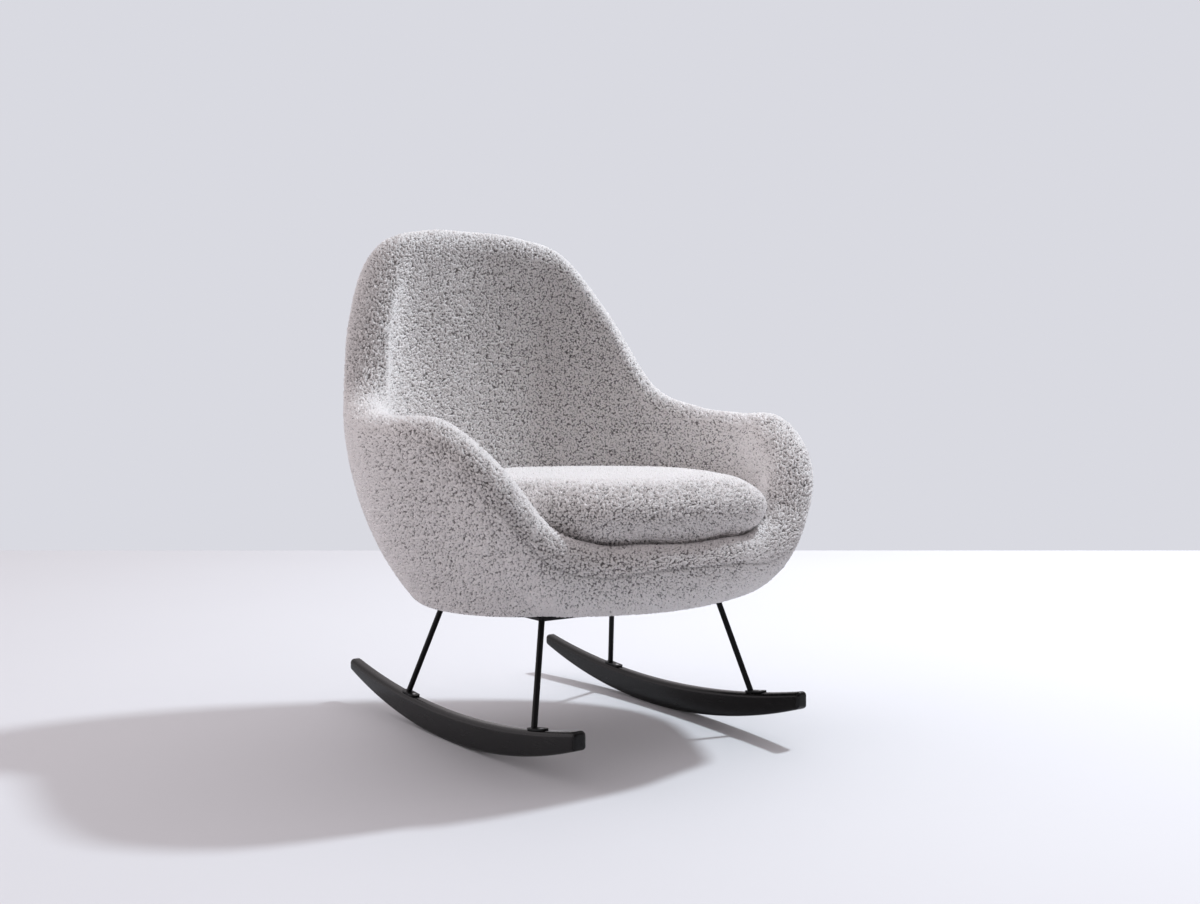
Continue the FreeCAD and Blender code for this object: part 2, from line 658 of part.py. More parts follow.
def main():
    os.makedirs("parts", exist_ok=True)
    build_rockers()
    build_underframe()
    build_frame_fasteners()
    build_base()
    build_tub(build_skeleton())
    build_cushion()
    for name, shape in NODES.items():
        shape.exportStep("parts/" + name + ".step")
    print(len(NODES), "pieces")


main()
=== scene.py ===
import math

import bmesh
import bpy
import numpy as np
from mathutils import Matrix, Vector
from mathutils.bvhtree import BVHTree


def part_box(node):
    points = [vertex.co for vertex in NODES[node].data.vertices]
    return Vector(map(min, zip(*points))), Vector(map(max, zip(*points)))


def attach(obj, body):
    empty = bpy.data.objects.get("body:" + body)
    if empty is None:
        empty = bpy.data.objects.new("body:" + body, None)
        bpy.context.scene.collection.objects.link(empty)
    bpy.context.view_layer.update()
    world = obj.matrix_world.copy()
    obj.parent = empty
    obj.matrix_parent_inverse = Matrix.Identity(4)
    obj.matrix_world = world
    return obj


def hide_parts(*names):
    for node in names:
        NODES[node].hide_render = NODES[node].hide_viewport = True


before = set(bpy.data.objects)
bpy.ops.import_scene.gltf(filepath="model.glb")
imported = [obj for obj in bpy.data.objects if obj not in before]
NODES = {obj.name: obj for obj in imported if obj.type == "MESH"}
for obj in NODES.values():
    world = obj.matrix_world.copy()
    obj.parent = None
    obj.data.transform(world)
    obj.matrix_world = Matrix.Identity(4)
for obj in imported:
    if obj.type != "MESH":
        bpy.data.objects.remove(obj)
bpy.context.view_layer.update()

# The tub's form, in metres: stations round an upright axis, from the middle of the back past the
# sitter's right arm to the middle of the front
TUB_Y = -0.050
BASE_Z = 0.237
DECK_Z = 0.336
ANGLES = np.array([0, 16, 30, 44, 58, 74, 92, 112, 128, 138, 150, 164, 180], float)
RIM_R = np.array([380, 382, 390, 379, 365, 362, 365, 366, 366, 347, 318, 308, 300]) / 1000
RIM_Z = np.array([855, 849, 820, 708, 570, 524, 507, 497, 425, 350, 322, 322, 320]) / 1000
ROLL = np.array([47, 47, 44, 40, 38, 38, 42, 43, 41, 37, 34, 31, 29]) / 1000
LEAN = np.radians([-7, -7, -7, -7, -6, -3, -2, -7, -16, -21, -23, -15, -10])
FALL = np.radians([176, 176, 176, 177, 178, 180, 180, 175, 163, 148, 133, 122, 115])
BASE_R = np.array([222, 225, 232, 246, 264, 284, 296, 298, 281, 256, 242, 228, 218]) / 1000
DECK_R = np.array([225, 227, 232, 240, 250, 262, 275, 282, 284, 281, 273, 262, 258]) / 1000
SEAT_R = np.array([239, 241, 247, 258, 272, 284, 292, 298, 304, 324, 342, 331, 322]) / 1000
FOOT_R = np.array([193, 195, 201, 212, 226, 238, 246, 252, 252, 244, 242, 244, 246]) / 1000
LINER_INSET = 0.018
DECK_GAP = 0.0015

# The loose cushion, by height above the deck: below, the share of the way from its foot out to its
# widest edge; above, the share of the way from that edge in to the middle
CUSHION_BELOW = np.array([(0.0005, 0), (0.007, 0.30), (0.018, 0.59), (0.031, 0.80), (0.046, 0.95)])
CUSHION_ABOVE = np.array([
    (0.062, 0), (0.078, 0.01), (0.091, 0.045), (0.099, 0.10), (0.104, 0.18),
    (0.107, 0.28), (0.109, 0.40), (0.1102, 0.54), (0.1108, 0.70), (0.111, 0.88),
])

# How far the cushion's filled front stands forward over the rim, with its share at heights above the deck
FRONT_BULGE = 0.010
BULGE_HEIGHTS = (0.012, 0.022, 0.075, 0.107)
BULGE_SHARES = (0, 1, 1, 0)

# The cloth: loops stand up from the smooth form and are pressed flat along a hem
LOOP_DEPTH = 0.0048
LOOP_SINK = 0.0030
HEM_WIDTH = 0.010
HEM_TUCK = 0.0015

# The yarn: loops per metre in two sizes, how much the large ones count, how far all are stirred, and
# the distances from a loop's middle where it ends and where its top begins
LARGE_LOOPS = 290.0
SMALL_LOOPS = 540.0
LARGE_SHARE = 0.75
STIR_SCALE = 240.0
STIR_REACH = 0.0034
LOOP_EDGE = 0.78
LOOP_TOP = 0.18

# The seam under the roll, drawn in round the front: it fades out, in degrees from the front's middle
SEAM_WIDTH = 0.0022
SEAM_DEPTH = 0.0010
SEAM_REACH = 75
SEAM_FADE = 25


def around(values, angle):
    """Smooth curve round the tub through one value per station, alike on both sides. Angle in degrees."""
    ring = np.concatenate([ANGLES, 360 - ANGLES[-2:0:-1]])
    value = np.concatenate([values, values[-2:0:-1]])
    x = np.concatenate([ring - 360, ring, ring + 360])
    y = np.tile(value, 3)
    step = np.diff(x)
    slope = np.diff(y) / step
    bend = np.zeros_like(y)
    bend[1:-1] = (step[1:] * slope[:-1] + step[:-1] * slope[1:]) / (step[1:] + step[:-1])
    angle = np.mod(angle, 360)
    i = np.searchsorted(x, angle, side="right") - 1
    h = step[i]
    t = (angle - x[i]) / h
    return (
        y[i] * (1 + 2 * t) * (1 - t) ** 2
        + h * bend[i] * t * (1 - t) ** 2
        + y[i + 1] * t * t * (3 - 2 * t)
        + h * bend[i + 1] * t * t * (t - 1)
    )


def at(angle, r, z):
    """Points in the part's frame, from an angle round the tub's axis, a distance from it and a height."""
    a = np.radians(angle)
    return np.stack([-r * np.sin(a), TUB_Y + r * np.cos(a), z + 0 * a], -1)


def tangent_radius(px, pz, normal, qx, qz):
    """Radius of the circle that leaves p square to a normal and passes through q."""
    dx, dz = qx - px, qz - pz
    return (dx * dx + dz * dz) / (2 * (dx * np.cos(normal) + dz * np.sin(normal)))


def outer_wall(angle, share):
    """Distance and height on the outer wall: share 0 at the base line, 1 at the seam."""
    lean, roll = around(LEAN, angle), around(ROLL, angle)
    sx = around(RIM_R, angle) + roll * np.cos(lean)
    sz = around(RIM_Z, angle) + roll * np.sin(lean)
    base = around(BASE_R, angle)
    radius = tangent_radius(sx, sz, lean, base, BASE_Z)
    hx, hz = sx + radius * np.cos(lean), sz + radius * np.sin(lean)
    low = np.arctan2(BASE_Z - hz, base - hx)
    turn = low + (lean - low) * share
    return hx - radius * np.cos(turn), hz - radius * np.sin(turn)


def inner_wall(angle, share):
    """Distance and height over the roll and down the inner wall: share 0 at the seam, 1 at the deck."""
    lean, fall, roll = around(LEAN, angle), around(FALL, angle), around(ROLL, angle)
    rx, rz = around(RIM_R, angle), around(RIM_Z, angle)
    lx, lz = rx + roll * np.cos(fall), rz + roll * np.sin(fall)
    deck = around(DECK_R, angle)
    radius = tangent_radius(lx, lz, fall, deck, DECK_Z)
    hx, hz = lx + radius * np.cos(fall), lz + radius * np.sin(fall)
    end = np.arctan2(DECK_Z - hz, deck - hx)
    over = roll * (fall - lean)
    down = radius * (fall - math.pi - end)
    along = share * (over + down)
    turn = lean + np.minimum(along, over) / roll
    drop = fall - math.pi - np.maximum(along - over, 0) / radius
    on_roll = along <= over
    r = np.where(on_roll, rx + roll * np.cos(turn), hx + radius * np.cos(drop))
    z = np.where(on_roll, rz + roll * np.sin(turn), hz + radius * np.sin(drop))
    return r, z


def grid_faces(rows, columns, closed):
    """Quads of a grid of points, numbered row by row."""
    i, j = np.meshgrid(np.arange(rows - 1), np.arange(columns if closed else columns - 1), indexing="ij")
    k = (j + 1) % columns
    a, b = i * columns + j, i * columns + k
    c, d = (i + 1) * columns + k, (i + 1) * columns + j
    return np.stack([a, b, c, d], -1).reshape(-1, 4)


def grid_normals(points):
    """Normals of a grid of points, rows by columns."""
    across = np.gradient(points, axis=1)
    along = np.gradient(points, axis=0)
    normal = np.cross(across, along)
    return normal / np.maximum(np.linalg.norm(normal, axis=-1, keepdims=True), 1e-12)


def mesh_from(name, points, faces, uv=None, smooth=True, **attributes):
    """New object from points and quads, with a map for its textures and values kept on its points."""
    mesh = bpy.data.meshes.new(name)
    mesh.vertices.add(len(points))
    mesh.vertices.foreach_set("co", np.asarray(points, np.float32).ravel())
    corners = np.asarray(faces, np.int32)
    mesh.loops.add(corners.size)
    mesh.loops.foreach_set("vertex_index", corners.ravel())
    mesh.polygons.add(len(corners))
    mesh.polygons.foreach_set("loop_start", np.arange(len(corners), dtype=np.int32) * corners.shape[1])
    mesh.polygons.foreach_set("use_smooth", np.full(len(corners), smooth))
    mesh.update(calc_edges=True)
    if uv is not None:
        layer = mesh.uv_layers.new(name="OFBake")
        layer.uv.foreach_set("vector", np.asarray(uv, np.float32)[corners.ravel()].ravel())
    for key, value in attributes.items():
        keep(mesh, key, value)
    made = bpy.data.objects.new(name, mesh)
    bpy.context.scene.collection.objects.link(made)
    return made


def keep(mesh, key, value):
    """Keeps a number or a vector on each point of a mesh."""
    value = np.asarray(value, np.float32)
    kind, field = ("FLOAT", "value") if value.ndim == 1 else ("FLOAT_VECTOR", "vector")
    mesh.attributes.new(key, kind, "POINT").data.foreach_set(field, value.ravel())


# Nodes shared by the geometry of the cloth and its colour
def add(tree, kind, **values):
    node = tree.nodes.new(kind)
    for key, value in values.items():
        setattr(node, key, value)
    return node


def join(tree, source, target):
    tree.links.new(source, target)


def number(tree, operation, a, b=None):
    node = add(tree, "ShaderNodeMath", operation=operation)
    for socket, value in zip(node.inputs, (a, b)):
        if value is None:
            continue
        if isinstance(value, (int, float)):
            socket.default_value = value
        else:
            join(tree, value, socket)
    return node.outputs[0]


def remap(tree, value, low, high, to_low=0.0, to_high=1.0):
    node = add(tree, "ShaderNodeMapRange", interpolation_type="SMOOTHSTEP")
    join(tree, value, node.inputs["Value"])
    for key, amount in (("From Min", low), ("From Max", high), ("To Min", to_low), ("To Max", to_high)):
        node.inputs[key].default_value = amount
    return node.outputs["Result"]


def noise(tree, place, scale, detail=2.0, roughness=0.5):
    node = add(tree, "ShaderNodeTexNoise", noise_dimensions="3D")
    join(tree, place, node.inputs["Vector"])
    node.inputs["Scale"].default_value = scale
    node.inputs["Detail"].default_value = detail
    node.inputs["Roughness"].default_value = roughness
    return node


def cells(tree, place, scale):
    """Distance from the middle of the nearest of many scattered cells."""
    node = add(tree, "ShaderNodeTexVoronoi", voronoi_dimensions="3D", feature="F1")
    join(tree, place, node.inputs["Vector"])
    node.inputs["Scale"].default_value = scale
    node.inputs["Randomness"].default_value = 1.0
    return node.outputs["Distance"]


def vector(tree, operation, a, b=None, scale=None):
    node = add(tree, "ShaderNodeVectorMath", operation=operation)
    join(tree, a, node.inputs[0])
    if isinstance(b, tuple):
        node.inputs[1].default_value = b
    elif b is not None:
        join(tree, b, node.inputs[1])
    if scale is not None:
        node.inputs["Scale"].default_value = scale
    return node.outputs[0]


def loops(tree, place):
    """How high the cloth stands at a place in metres: 1 on a loop of yarn, 0 in the gaps between loops."""
    stir = noise(tree, place, STIR_SCALE, 1.0).outputs["Color"]
    stir = vector(tree, "SCALE", vector(tree, "SUBTRACT", stir, (0.5, 0.5, 0.5)), scale=STIR_REACH)
    stirred = vector(tree, "ADD", place, stir)
    large = number(tree, "MULTIPLY", cells(tree, stirred, LARGE_LOOPS), LARGE_SHARE)
    small = number(tree, "MULTIPLY", cells(tree, stirred, SMALL_LOOPS), 1 - LARGE_SHARE)
    return remap(tree, number(tree, "ADD", large, small), LOOP_EDGE, LOOP_TOP)


def loop_heights(points):
    """The same heights at an array of points."""
    tree = bpy.data.node_groups.new("loop_heights", "GeometryNodeTree")
    tree.interface.new_socket("Geometry", in_out="INPUT", socket_type="NodeSocketGeometry")
    tree.interface.new_socket("Geometry", in_out="OUTPUT", socket_type="NodeSocketGeometry")
    start = add(tree, "NodeGroupInput")
    end = add(tree, "NodeGroupOutput")
    place = add(tree, "GeometryNodeInputPosition").outputs[0]
    store = add(tree, "GeometryNodeStoreNamedAttribute", data_type="FLOAT", domain="POINT")
    store.inputs["Name"].default_value = "height"
    join(tree, start.outputs[0], store.inputs["Geometry"])
    value = next(s for s in store.inputs if s.name == "Value" and s.enabled)
    join(tree, loops(tree, place), value)
    join(tree, store.outputs[0], end.inputs[0])
    mesh = bpy.data.meshes.new("heights")
    mesh.vertices.add(len(points))
    mesh.vertices.foreach_set("co", np.asarray(points, np.float32).ravel())
    holder = bpy.data.objects.new("heights", mesh)
    bpy.context.scene.collection.objects.link(holder)
    holder.modifiers.new("heights", "NODES").node_group = tree
    done = holder.evaluated_get(bpy.context.evaluated_depsgraph_get()).data
    found = np.zeros(len(points), np.float32)
    done.attributes["height"].data.foreach_get("value", found)
    bpy.data.objects.remove(holder)
    bpy.data.meshes.remove(mesh)
    bpy.data.node_groups.remove(tree)
    return found


# Finishes
def finish(name, **fixed):
    """New material with one shader; fixed values go on the shader's own sockets."""
    material = bpy.data.materials.new(name)
    material.use_nodes = True
    tree = material.node_tree
    shader = tree.nodes["Principled BSDF"]
    for key, value in fixed.items():
        shader.inputs[key.replace("_", " ").title().replace("Ior", "IOR")].default_value = value
    return material, tree, shader


def own_place(tree):
    """Place in the object's own coordinates, which go with it when it moves."""
    return add(tree, "ShaderNodeTexCoord").outputs["Object"]


def blend_colours(tree, factor, low, high):
    node = add(tree, "ShaderNodeMix", data_type="RGBA")
    sockets = [s for s in node.inputs if s.type == "RGBA"]
    join(tree, factor, node.inputs["Factor"])
    for socket, colour in zip(sockets, (low, high)):
        if isinstance(colour, tuple):
            socket.default_value = (*colour, 1.0)
        else:
            join(tree, colour, socket)
    return next(s for s in node.outputs if s.type == "RGBA")


def bump(tree, shader, height, strength, distance):
    node = add(tree, "ShaderNodeBump")
    node.inputs["Strength"].default_value = strength
    node.inputs["Distance"].default_value = distance
    join(tree, height, node.inputs["Height"])
    join(tree, node.outputs["Normal"], shader.inputs["Normal"])


# Colours of the cloth, from the gaps between its loops up to their tops: the gaps' colour is the darker
# base yarn together with painted shade in the hollows, and the loops' sides carry painted shade below
# their pale tops
GAP_YARN_AND_PAINTED_SHADE = (0.13, 0.118, 0.115)
LOOP_SIDE_PAINTED_SHADE = (0.70, 0.667, 0.662)
YARN_PALE = (0.95, 0.912, 0.905)
SEAM_COLOUR = (0.12, 0.11, 0.105)
SEAM_STRENGTH = 0.4


def shift(tree, value, amount):
    """A value from 0 to 1 as a shift to both sides of nought."""
    return number(tree, "MULTIPLY", number(tree, "SUBTRACT", value, 0.5), amount)


def boucle():
    """Looped cloth: pale tops of yarn, painted shade down the loops' sides and into the gaps over the
    darker base yarn, fine fibres and a fuzzy sheen.
    """
    material, tree, shader = finish(
        "boucle", roughness=0.95, specular_ior_level=0.1, sheen_weight=0.9, sheen_roughness=0.5)
    rest = add(tree, "ShaderNodeAttribute", attribute_name="rest").outputs["Vector"]
    height = loops(tree, rest)
    fine = noise(tree, rest, 900.0, 2.0).outputs["Fac"]
    patch = noise(tree, rest, 90.0, 2.0).outputs["Fac"]
    level = number(tree, "ADD", height, shift(tree, fine, 0.5))
    level = number(tree, "ADD", level, shift(tree, patch, 0.4))
    # Painted shade: the gaps and the loops' sides are darkened as if in shadow, on top of the base yarn's
    # own darker tone in the gaps
    dark = blend_colours(tree, remap(tree, level, -0.08, 0.28), GAP_YARN_AND_PAINTED_SHADE, LOOP_SIDE_PAINTED_SHADE)
    pale = blend_colours(tree, remap(tree, level, 0.18, 0.52), dark, YARN_PALE)
    seam = add(tree, "ShaderNodeAttribute", attribute_name="seam").outputs["Fac"]
    colour = blend_colours(tree, number(tree, "MULTIPLY", seam, SEAM_STRENGTH), pale, SEAM_COLOUR)
    join(tree, colour, shader.inputs["Base Color"])
    relief = number(tree, "ADD", number(tree, "MULTIPLY", height, 2.0), fine)
    bump(tree, shader, relief, 0.45, 0.0010)
    return material


def lacquer():
    """Black satin lacquer, with the wood's grain faintly under it."""
    material, tree, shader = finish(
        "black_lacquer", specular_ior_level=0.16, coat_weight=0.06, coat_roughness=0.16)
    stretched = vector(tree, "MULTIPLY", own_place(tree), (60.0, 6.0, 60.0))
    grain = noise(tree, stretched, 4.0, 4.0, 0.6).outputs["Fac"]
    colour = blend_colours(tree, grain, (0.0045, 0.0045, 0.005), (0.0085, 0.008, 0.008))
    join(tree, colour, shader.inputs["Base Color"])
    join(tree, remap(tree, grain, 0.3, 0.7, 0.20, 0.28), shader.inputs["Roughness"])
    bump(tree, shader, grain, 0.05, 0.0004)
    return material


def coated(name, low, high, roughness, metallic=0.0, shine=0.5):
    """Coated or bare metal and plastic: fine orange peel and a broad mottle."""
    material, tree, shader = finish(name, metallic=metallic, specular_ior_level=shine)
    place = own_place(tree)
    peel = noise(tree, place, 420.0, 2.0).outputs["Fac"]
    mottle = noise(tree, place, 18.0, 3.0).outputs["Fac"]
    join(tree, blend_colours(tree, mottle, low, high), shader.inputs["Base Color"])
    spread = remap(tree, mottle, 0.3, 0.7, roughness - 0.06, roughness + 0.06)
    join(tree, spread, shader.inputs["Roughness"])
    bump(tree, shader, peel, 0.15, 0.0004)
    return material


def plywood():
    """Raw plywood: grain on its faces and layers in its edges."""
    material, tree, shader = finish("plywood", roughness=0.7)
    place = own_place(tree)
    layers = add(tree, "ShaderNodeTexWave", wave_type="BANDS", bands_direction="Z")
    join(tree, place, layers.inputs["Vector"])
    layers.inputs["Scale"].default_value = 110.0
    layers.inputs["Distortion"].default_value = 0.6
    grain = noise(tree, vector(tree, "MULTIPLY", place, (90.0, 7.0, 90.0)), 3.0, 4.0).outputs["Fac"]
    banded = number(tree, "MULTIPLY", layers.outputs["Fac"], 0.4)
    mixed = number(tree, "ADD", banded, number(tree, "MULTIPLY", grain, 0.6))
    colour = blend_colours(tree, mixed, (0.36, 0.24, 0.13), (0.66, 0.50, 0.32))
    join(tree, colour, shader.inputs["Base Color"])
    bump(tree, shader, grain, 0.2, 0.0006)
    return material


def felt(name, low, high):
    """Non-woven cloth or tape: fine crossed threads."""
    material, tree, shader = finish(name, roughness=0.9, specular_ior_level=0.2)
    place = own_place(tree)
    thread = noise(tree, vector(tree, "MULTIPLY", place, (900.0, 300.0, 900.0)), 1.0, 3.0).outputs["Fac"]
    cross = noise(tree, vector(tree, "MULTIPLY", place, (300.0, 900.0, 900.0)), 1.0, 3.0).outputs["Fac"]
    woven = number(tree, "MULTIPLY", number(tree, "ADD", thread, cross), 0.5)
    join(tree, blend_colours(tree, remap(tree, woven, 0.35, 0.65), low, high), shader.inputs["Base Color"])
    bump(tree, shader, woven, 0.4, 0.0005)
    return material


BOUCLE = boucle()
LACQUER = lacquer()
POWDER = coated("black_powder_coat", (0.0035, 0.0035, 0.004), (0.0075, 0.0075, 0.008), 0.42, shine=0.16)
PLASTIC = coated("black_plastic", (0.011, 0.011, 0.0115), (0.020, 0.020, 0.0205), 0.5)
ZINC = coated("bright_zinc", (0.46, 0.47, 0.49), (0.62, 0.63, 0.65), 0.34, metallic=1.0)
PRIMER = coated("dark_primer", (0.07, 0.07, 0.075), (0.12, 0.12, 0.13), 0.6)
PLY = plywood()
LINING = felt("black_lining", (0.010, 0.010, 0.011), (0.030, 0.030, 0.032))
TAPE = felt("zip_tape", (0.42, 0.40, 0.39), (0.62, 0.60, 0.585))

FINISHES = {
    "rocker_left": LACQUER, "rocker_right": LACQUER, "rocker_plugs": PLASTIC,
    "rocker_bolts": ZINC, "frame_bolts": ZINC, "frame_washers": ZINC, "tee_nuts": ZINC,
    "arm_hoop": PRIMER, "back_hoop": PRIMER, "skeleton_plates": PRIMER, "skeleton_screws": ZINC,
    "seat_board": PLY,
}


def wear(piece, material):
    piece.data.materials.clear()
    piece.data.materials.append(material)


for node_name, node in NODES.items():
    wear(node, FINISHES.get(node_name, POWDER))


# The tub's covers
SECTORS = (
    "back_right", "arm_right_rear", "arm_right_front", "front_right",
    "front_left", "arm_left_front", "arm_left_rear", "back_left",
)
SECTOR_WIDTH = 360.0 / len(SECTORS)
SPACING = 0.00125


def fill_square(uv):
    """Spreads a map over its square."""
    low, high = uv.min(0), uv.max(0)
    return 0.01 + 0.98 * (uv - low) / (high - low)


def panel(outside, start):
    """One sector of a cover: its points, faces, map, and the values that its cloth is drawn with."""
    lap = math.degrees(1.5 * SPACING / RIM_R.mean())
    columns = math.ceil(math.radians(SECTOR_WIDTH + lap) * RIM_R.max() / SPACING)
    turn = np.linspace(start, start + SECTOR_WIDTH + lap, columns)
    wall = outer_wall if outside else inner_wall
    r, z = wall(turn[None, :], np.linspace(0, 1, 60)[:, None])
    rows = math.ceil(np.hypot(np.diff(r, axis=0), np.diff(z, axis=0)).sum(0).max() / SPACING)
    r, z = wall(turn[None, :], np.linspace(0, 1, rows)[:, None])
    smooth = at(np.broadcast_to(turn, r.shape), r, z)
    steps = np.linalg.norm(np.diff(smooth, axis=0), axis=-1)
    run = np.concatenate([np.zeros((1, columns)), np.cumsum(steps, axis=0)])
    left = run[-1] - run
    front = np.clip((SEAM_REACH - abs(180 - turn)) / SEAM_FADE, 0.0, 1)
    seam = np.exp(-(((left if outside else run) / SEAM_WIDTH) ** 2)) * front
    edge = np.clip((run if outside else left) / HEM_WIDTH, 0, 1)
    height = loop_heights(smooth.reshape(-1, 3)).reshape(r.shape)
    rise = (LOOP_DEPTH * height - LOOP_SINK) * edge - SEAM_DEPTH * seam - HEM_TUCK * (1 - edge)
    final = smooth + grid_normals(smooth) * rise[..., None]
    across = np.broadcast_to(turn, run.shape)
    uv = fill_square(np.stack([across, run], -1).reshape(-1, 2))
    faces = grid_faces(rows, columns, False)[:, ::-1]
    return final.reshape(-1, 3), faces, uv, smooth.reshape(-1, 3), seam.ravel()


for cover in ("outer", "inner"):
    for index, side in enumerate(SECTORS):
        points, faces, uv, rest, seam = panel(cover == "outer", index * SECTOR_WIDTH)
        piece = mesh_from(f"{cover}_upholstery_{side}", points, faces, uv, rest=rest, seam=seam)
        wear(piece, BOUCLE)
        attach(piece, "chair")
        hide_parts(f"{cover}_cover", "shell_foam")


DISC_START = 0.004
DECK_SINK = 0.0030
SKIRT = np.array([0.002, 0.004, 0.006, 0.009, 0.012])


def disc(edge_radius, z, rings, columns):
    """Grid of points from near the axis out to an edge."""
    angle = np.arange(columns) * 360.0 / columns
    share = np.linspace(DISC_START, 1, rings)[:, None]
    r = share * edge_radius(angle)[None, :]
    return at(np.broadcast_to(angle, r.shape), r, np.full(r.shape, z))


def deck():
    """Covered pad in the seat, under the loose cushion."""
    columns = 640
    rings = 150
    top = disc(lambda a: around(DECK_R, a) - DECK_GAP, DECK_Z, rings, columns)
    skirt = np.repeat(top[-1:], len(SKIRT), axis=0)
    skirt[..., 2] -= SKIRT[:, None]
    grid = np.concatenate([top, skirt])
    points = grid.reshape(-1, 3)
    height = loop_heights(points).reshape(grid.shape[:2])
    lift = LOOP_DEPTH * height - LOOP_SINK - DECK_SINK
    lift[-len(SKIRT):] = -DECK_SINK
    final = grid.copy()
    final[..., 2] += lift
    faces = grid_faces(len(grid), columns, True)
    run = np.concatenate([np.linspace(DISC_START, 1, rings), 1 + 0.02 * np.arange(1, len(SKIRT) + 1)])
    turn = np.arange(columns) * 2 * math.pi / columns
    uv = np.stack([run[:, None] * np.sin(turn), run[:, None] * np.cos(turn)], -1).reshape(-1, 2)
    no_seam = np.zeros(len(points))
    return mesh_from("seat_deck", final.reshape(-1, 3), faces, fill_square(uv), rest=points, seam=no_seam)


deck_piece = deck()
wear(deck_piece, BOUCLE)
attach(deck_piece, "chair")
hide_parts("deck_cover", "seat_foam")


# The loose cushion
def cushion_form(shrink):
    """Closed smooth form of the cushion, drawn in by a shrink on every side."""
    columns = 220
    angle = np.arange(columns) * 360.0 / columns
    foot, edge = around(FOOT_R, angle), around(SEAT_R, angle)
    low = foot + CUSHION_BELOW[:, 1:] * (edge - foot)
    high = edge * (1 - CUSHION_ABOVE[:, 1:])
    levels = np.concatenate([low, high])
    heights = np.concatenate([CUSHION_BELOW[:, 0], CUSHION_ABOVE[:, 0]])
    forward = np.clip(-np.cos(np.radians(angle)), 0, 1)
    levels += FRONT_BULGE * forward * np.interp(heights, BULGE_HEIGHTS, BULGE_SHARES)[:, None]
    run = np.concatenate([[0], np.cumsum(np.hypot(np.diff(heights), np.diff(levels.mean(1))))])
    along = np.linspace(0, run[-1], 70)
    height = np.clip(np.interp(along, run, heights), shrink, heights[-1] - shrink)
    place = np.interp(along, run, np.arange(len(run)))
    step = np.minimum(place.astype(int), len(run) - 2)
    share = (place - step)[:, None]
    r = levels[step] * (1 - share) + levels[step + 1] * share - shrink
    side = at(np.broadcast_to(angle, r.shape), r, np.broadcast_to(DECK_Z + height[:, None], r.shape))
    inward = np.linspace(0.02, 1, 14)[:-1, None, None]
    return np.concatenate([drawn_in(side[:1], inward), side, drawn_in(side[-1:], inward[::-1])]), columns


def drawn_in(ring, shares):
    """Copies of a level ring at shares of its distance from the axis."""
    middle = np.array([0, TUB_Y, 0])
    return (ring - middle) * np.array([1, 1, 0]) * shares + middle + np.array([0, 0, 1]) * ring[..., 2:]


def applied(piece):
    """Replaces an object's mesh with its modifiers' result."""
    graph = bpy.context.evaluated_depsgraph_get()
    mesh = bpy.data.meshes.new_from_object(piece.evaluated_get(graph))
    piece.modifiers.clear()
    old = piece.data
    piece.data = mesh
    bpy.data.meshes.remove(old)


def coordinates(piece):
    found = np.zeros(len(piece.data.vertices) * 3, np.float32)
    piece.data.vertices.foreach_get("co", found)
    return found.reshape(-1, 3).astype(float)


def normals(piece):
    found = np.zeros(len(piece.data.vertices) * 3, np.float32)
    piece.data.vertex_normals.foreach_get("vector", found)
    return found.reshape(-1, 3).astype(float)


def set_coordinates(piece, points):
    piece.data.vertices.foreach_set("co", np.asarray(points, np.float32).ravel())
    piece.data.update()


def close_ends(piece):
    """Fills a tube's open ends and turns its faces outwards."""
    ends = bmesh.new()
    ends.from_mesh(piece.data)
    bmesh.ops.holes_fill(ends, edges=[e for e in ends.edges if e.is_boundary], sides=0)
    bmesh.ops.recalc_face_normals(ends, faces=ends.faces)
    ends.to_mesh(piece.data)
    ends.free()


# The cushion starts smaller by the swell, and its cloth may move by no more than the cap
SWELL = 0.004
SWELL_CAP = 0.007
PRESSURE = 4.0
SETTLE_STEPS = 20
VOXEL = 0.0054
REST_GAP = 0.0005
PRESSED_HEIGHT = 0.006
EDGE_HEIGHT = 0.062


def cushion():
    """The cushion: its smooth form, swelled by pressure as cloth, with the loops raised on it."""
    grid, columns = cushion_form(SWELL)
    faces = grid_faces(len(grid), columns, True)[:, ::-1]
    piece = mesh_from("cushion_start", grid.reshape(-1, 3), faces)
    close_ends(piece)
    coarse = piece.modifiers.new("voxels", "REMESH")
    coarse.mode = "VOXEL"
    coarse.voxel_size = VOXEL
    even = piece.modifiers.new("even", "SMOOTH")
    even.iterations = 6
    applied(piece)
    start = coordinates(piece)
    cloth = piece.modifiers.new("cloth", "CLOTH")
    cloth.settings.use_pressure = True
    cloth.settings.uniform_pressure_force = PRESSURE
    cloth.settings.effector_weights.gravity = 0.0
    cloth.settings.quality = 5
    scene = bpy.context.scene
    for step in range(1, SETTLE_STEPS + 1):
        scene.frame_set(step)
    applied(piece)
    scene.frame_set(1)
    moved = coordinates(piece) - start
    far = np.linalg.norm(moved, axis=1, keepdims=True)
    moved *= np.minimum(1, SWELL_CAP / np.maximum(far, 1e-9))
    settled = start + moved
    settled[:, 2] = np.maximum(settled[:, 2], DECK_Z + REST_GAP)
    set_coordinates(piece, settled)
    rounder = piece.modifiers.new("rounder", "SUBSURF")
    rounder.levels = 2
    rounder.render_levels = rounder.levels
    applied(piece)
    for face in piece.data.polygons:
        face.use_smooth = True
    smooth = coordinates(piece)
    rise = LOOP_DEPTH * loop_heights(smooth) - LOOP_SINK
    flat = smooth[:, 2] < DECK_Z + PRESSED_HEIGHT
    rise[flat] = np.minimum(rise[flat], 0.0)
    set_coordinates(piece, smooth + normals(piece) * rise[:, None])
    keep(piece.data, "rest", smooth)
    keep(piece.data, "seam", np.zeros(len(smooth)))
    lay_out(piece, smooth)
    piece.name = "seat_cushion"
    return piece


